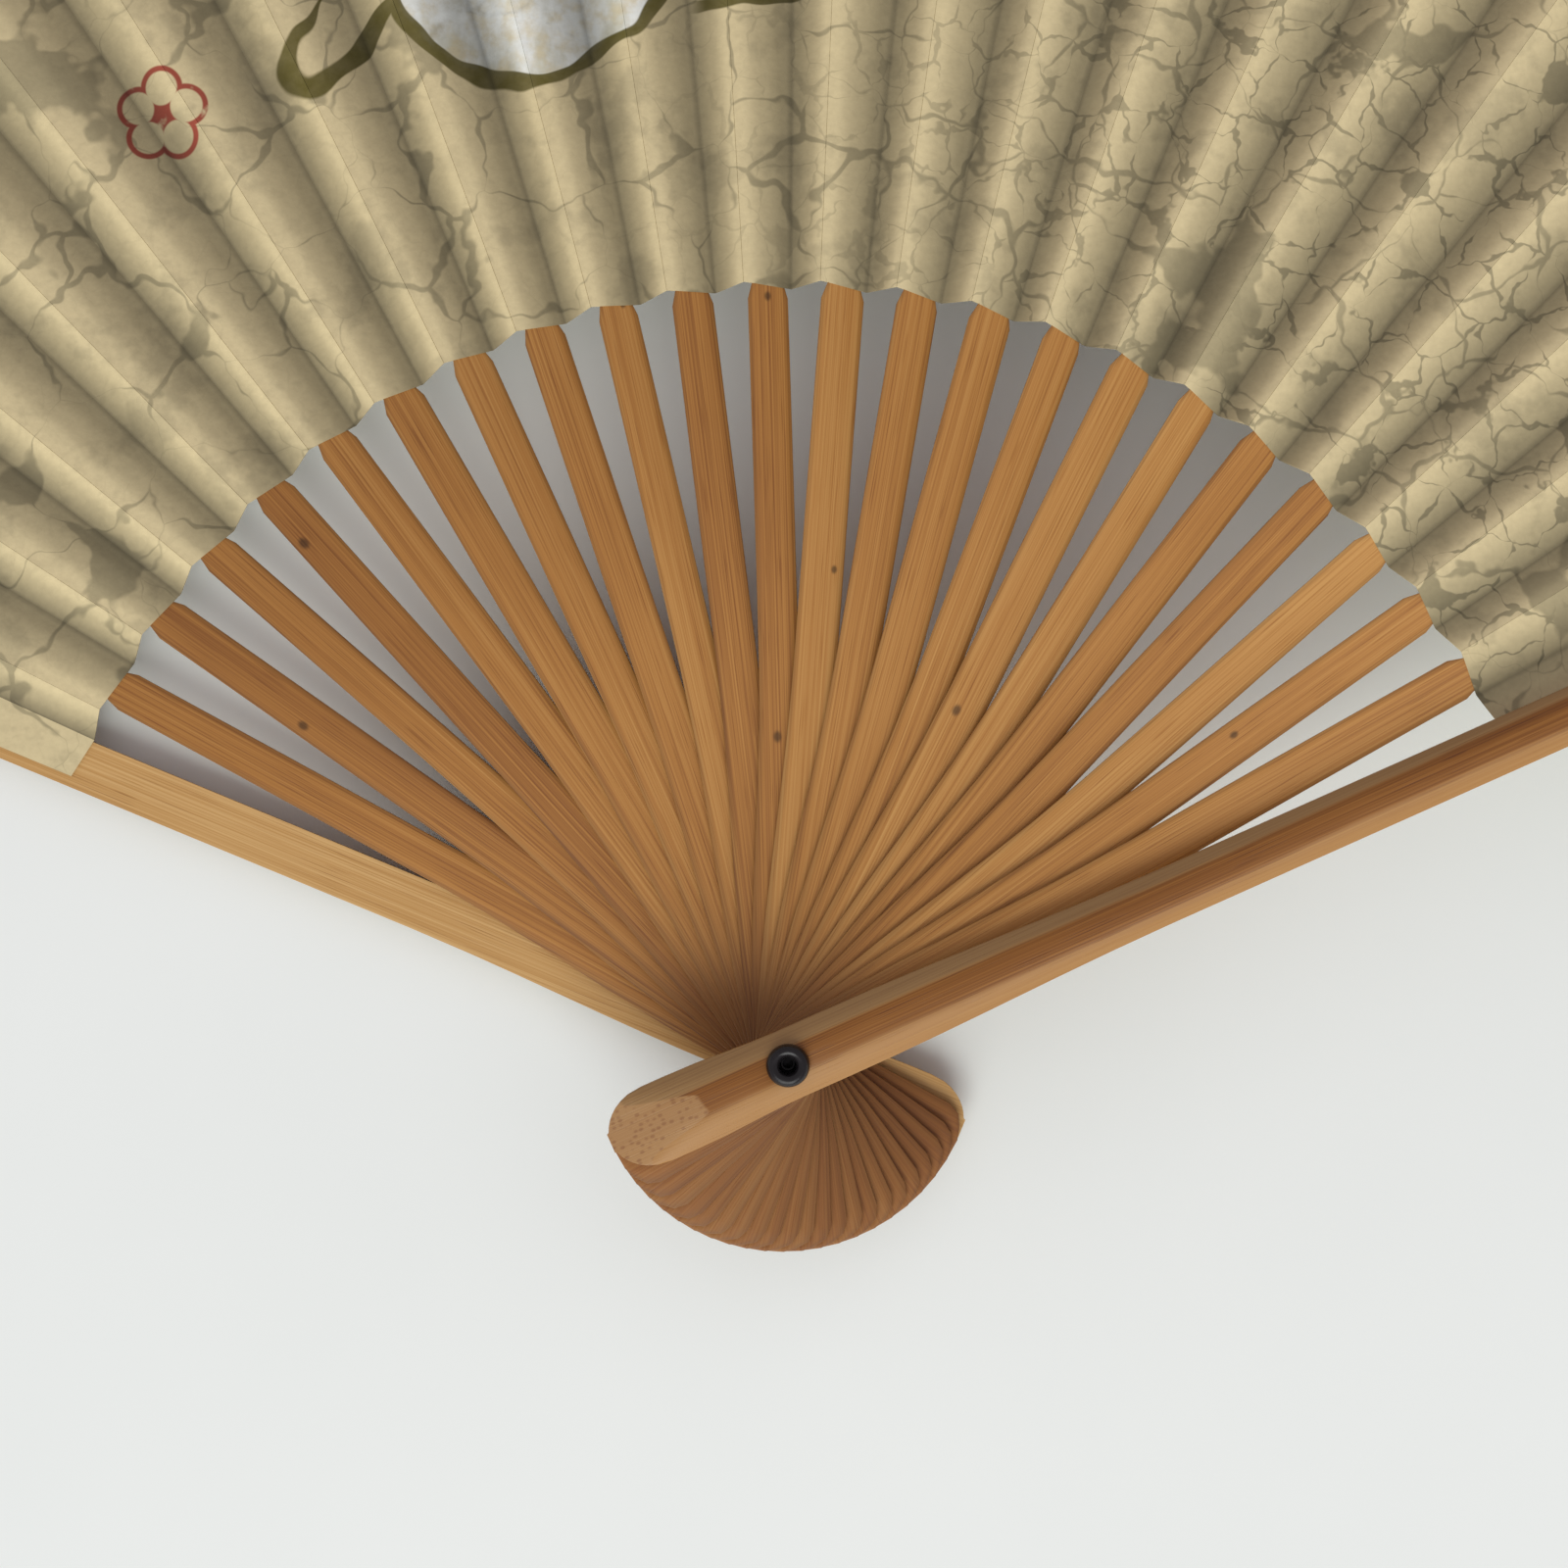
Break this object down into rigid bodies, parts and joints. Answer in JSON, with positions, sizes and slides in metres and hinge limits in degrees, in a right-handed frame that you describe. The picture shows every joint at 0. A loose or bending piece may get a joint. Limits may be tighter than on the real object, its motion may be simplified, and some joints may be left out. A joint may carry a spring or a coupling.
{
  "type": "folding hand fan",
  "caption": "Folding hand fan with bamboo ribs, two chamfered guard staves, a pleated paper leaf and a black pin rivet, drawn open.",
  "frame": {"origin": "centre of the rivet's rear face; the rivet's axis is Z, and z = 0 is the rear face of its closed head", "axes": "+Z from the rear guard to the front guard along the rivet, +Y from the rivet towards the paper along the middle of the open fan, +X towards the front guard's side"},
  "size_m": [0.3762, 0.2239, 0.0246],
  "materials": {
    "rib_bamboo": "smoked bamboo, fine lengthwise fibres, satin",
    "guard_bamboo": "smoked bamboo with chamfered edges, satin",
    "leaf_paper": "cream marbled paper, matt, pleated",
    "rivet_lacquer": "black, glossy"
  },
  "bodies": {
    "rear_guard": {"rear_guard": "guard_bamboo", "leaf_panel_00": "leaf_paper", "rivet_stud": "rivet_lacquer", "rivet_eyelet": "rivet_lacquer"},
    "rib_01": {"rib_01": "rib_bamboo", "leaf_panel_01": "leaf_paper"},
    "rib_02": {"rib_02": "rib_bamboo", "leaf_panel_02": "leaf_paper"},
    "rib_03": {"rib_03": "rib_bamboo", "leaf_panel_03": "leaf_paper"},
    "rib_04": {"rib_04": "rib_bamboo", "leaf_panel_04": "leaf_paper"},
    "rib_05": {"rib_05": "rib_bamboo", "leaf_panel_05": "leaf_paper"},
    "rib_06": {"rib_06": "rib_bamboo", "leaf_panel_06": "leaf_paper"},
    "rib_07": {"rib_07": "rib_bamboo", "leaf_panel_07": "leaf_paper"},
    "rib_08": {"rib_08": "rib_bamboo", "leaf_panel_08": "leaf_paper"},
    "rib_09": {"rib_09": "rib_bamboo", "leaf_panel_09": "leaf_paper"},
    "rib_10": {"rib_10": "rib_bamboo", "leaf_panel_10": "leaf_paper"},
    "rib_11": {"rib_11": "rib_bamboo", "leaf_panel_11": "leaf_paper"},
    "rib_12": {"rib_12": "rib_bamboo", "leaf_panel_12": "leaf_paper"},
    "rib_13": {"rib_13": "rib_bamboo", "leaf_panel_13": "leaf_paper"},
    "rib_14": {"rib_14": "rib_bamboo", "leaf_panel_14": "leaf_paper"},
    "rib_15": {"rib_15": "rib_bamboo", "leaf_panel_15": "leaf_paper"},
    "rib_16": {"rib_16": "rib_bamboo", "leaf_panel_16": "leaf_paper"},
    "rib_17": {"rib_17": "rib_bamboo", "leaf_panel_17": "leaf_paper"},
    "rib_18": {"rib_18": "rib_bamboo", "leaf_panel_18": "leaf_paper"},
    "rib_19": {"rib_19": "rib_bamboo", "leaf_panel_19": "leaf_paper"},
    "rib_20": {"rib_20": "rib_bamboo", "leaf_panel_20": "leaf_paper"},
    "rib_21": {"rib_21": "rib_bamboo", "leaf_panel_21": "leaf_paper"},
    "rib_22": {"rib_22": "rib_bamboo", "leaf_panel_22": "leaf_paper"},
    "front_guard": {"front_guard": "guard_bamboo", "leaf_panel_23": "leaf_paper"}
  },
  "joints": [
    {"name": "spread_01", "type": "hinge", "parent": "rear_guard", "child": "rib_01", "pos_m": [0, 0, 0], "axis": [0, 0, 1], "range_deg": [0, 6.47]},
    {"name": "spread_02", "type": "hinge", "parent": "rib_01", "child": "rib_02", "pos_m": [0, 0, 0], "axis": [0, 0, 1], "range_deg": [0, 6.35]},
    {"name": "spread_03", "type": "hinge", "parent": "rib_02", "child": "rib_03", "pos_m": [0, 0, 0], "axis": [0, 0, 1], "range_deg": [0, 6.24]},
    {"name": "spread_04", "type": "hinge", "parent": "rib_03", "child": "rib_04", "pos_m": [0, 0, 0], "axis": [0, 0, 1], "range_deg": [0, 6.14]},
    {"name": "spread_05", "type": "hinge", "parent": "rib_04", "child": "rib_05", "pos_m": [0, 0, 0], "axis": [0, 0, 1], "range_deg": [0, 6.04]},
    {"name": "spread_06", "type": "hinge", "parent": "rib_05", "child": "rib_06", "pos_m": [0, 0, 0], "axis": [0, 0, 1], "range_deg": [0, 5.96]},
    {"name": "spread_07", "type": "hinge", "parent": "rib_06", "child": "rib_07", "pos_m": [0, 0, 0], "axis": [0, 0, 1], "range_deg": [0, 5.88]},
    {"name": "spread_08", "type": "hinge", "parent": "rib_07", "child": "rib_08", "pos_m": [0, 0, 0], "axis": [0, 0, 1], "range_deg": [0, 5.81]},
    {"name": "spread_09", "type": "hinge", "parent": "rib_08", "child": "rib_09", "pos_m": [0, 0, 0], "axis": [0, 0, 1], "range_deg": [0, 5.75]},
    {"name": "spread_10", "type": "hinge", "parent": "rib_09", "child": "rib_10", "pos_m": [0, 0, 0], "axis": [0, 0, 1], "range_deg": [0, 5.7]},
    {"name": "spread_11", "type": "hinge", "parent": "rib_10", "child": "rib_11", "pos_m": [0, 0, 0], "axis": [0, 0, 1], "range_deg": [0, 5.66]},
    {"name": "spread_12", "type": "hinge", "parent": "rib_11", "child": "rib_12", "pos_m": [0, 0, 0], "axis": [0, 0, 1], "range_deg": [0, 5.62]},
    {"name": "spread_13", "type": "hinge", "parent": "rib_12", "child": "rib_13", "pos_m": [0, 0, 0], "axis": [0, 0, 1], "range_deg": [0, 5.59]},
    {"name": "spread_14", "type": "hinge", "parent": "rib_13", "child": "rib_14", "pos_m": [0, 0, 0], "axis": [0, 0, 1], "range_deg": [0, 5.57]},
    {"name": "spread_15", "type": "hinge", "parent": "rib_14", "child": "rib_15", "pos_m": [0, 0, 0], "axis": [0, 0, 1], "range_deg": [0, 5.56]},
    {"name": "spread_16", "type": "hinge", "parent": "rib_15", "child": "rib_16", "pos_m": [0, 0, 0], "axis": [0, 0, 1], "range_deg": [0, 5.56]},
    {"name": "spread_17", "type": "hinge", "parent": "rib_16", "child": "rib_17", "pos_m": [0, 0, 0], "axis": [0, 0, 1], "range_deg": [0, 5.57]},
    {"name": "spread_18", "type": "hinge", "parent": "rib_17", "child": "rib_18", "pos_m": [0, 0, 0], "axis": [0, 0, 1], "range_deg": [0, 5.58]},
    {"name": "spread_19", "type": "hinge", "parent": "rib_18", "child": "rib_19", "pos_m": [0, 0, 0], "axis": [0, 0, 1], "range_deg": [0, 5.6]},
    {"name": "spread_20", "type": "hinge", "parent": "rib_19", "child": "rib_20", "pos_m": [0, 0, 0], "axis": [0, 0, 1], "range_deg": [0, 5.63]},
    {"name": "spread_21", "type": "hinge", "parent": "rib_20", "child": "rib_21", "pos_m": [0, 0, 0], "axis": [0, 0, 1], "range_deg": [0, 5.67]},
    {"name": "spread_22", "type": "hinge", "parent": "rib_21", "child": "rib_22", "pos_m": [0, 0, 0], "axis": [0, 0, 1], "range_deg": [0, 5.72]},
    {"name": "spread_23", "type": "hinge", "parent": "rib_22", "child": "front_guard", "pos_m": [0, 0, 0], "axis": [0, 0, 1], "range_deg": [0, 5.77]}
  ],
  "couplings": [
    {"joint": "spread_02", "follows": "spread_01", "ratio": 0.98176},
    {"joint": "spread_03", "follows": "spread_01", "ratio": 0.96461},
    {"joint": "spread_04", "follows": "spread_01", "ratio": 0.94884},
    {"joint": "spread_05", "follows": "spread_01", "ratio": 0.93431},
    {"joint": "spread_06", "follows": "spread_01", "ratio": 0.92117},
    {"joint": "spread_07", "follows": "spread_01", "ratio": 0.90912},
    {"joint": "spread_08", "follows": "spread_01", "ratio": 0.89845},
    {"joint": "spread_09", "follows": "spread_01", "ratio": 0.88903},
    {"joint": "spread_10", "follows": "spread_01", "ratio": 0.88099},
    {"joint": "spread_11", "follows": "spread_01", "ratio": 0.87419},
    {"joint": "spread_12", "follows": "spread_01", "ratio": 0.86862},
    {"joint": "spread_13", "follows": "spread_01", "ratio": 0.8643},
    {"joint": "spread_14", "follows": "spread_01", "ratio": 0.86136},
    {"joint": "spread_15", "follows": "spread_01", "ratio": 0.85966},
    {"joint": "spread_16", "follows": "spread_01", "ratio": 0.8592},
    {"joint": "spread_17", "follows": "spread_01", "ratio": 0.86012},
    {"joint": "spread_18", "follows": "spread_01", "ratio": 0.86213},
    {"joint": "spread_19", "follows": "spread_01", "ratio": 0.86569},
    {"joint": "spread_20", "follows": "spread_01", "ratio": 0.87032},
    {"joint": "spread_21", "follows": "spread_01", "ratio": 0.87635},
    {"joint": "spread_22", "follows": "spread_01", "ratio": 0.88362},
    {"joint": "spread_23", "follows": "spread_01", "ratio": 0.89212}
  ]
}
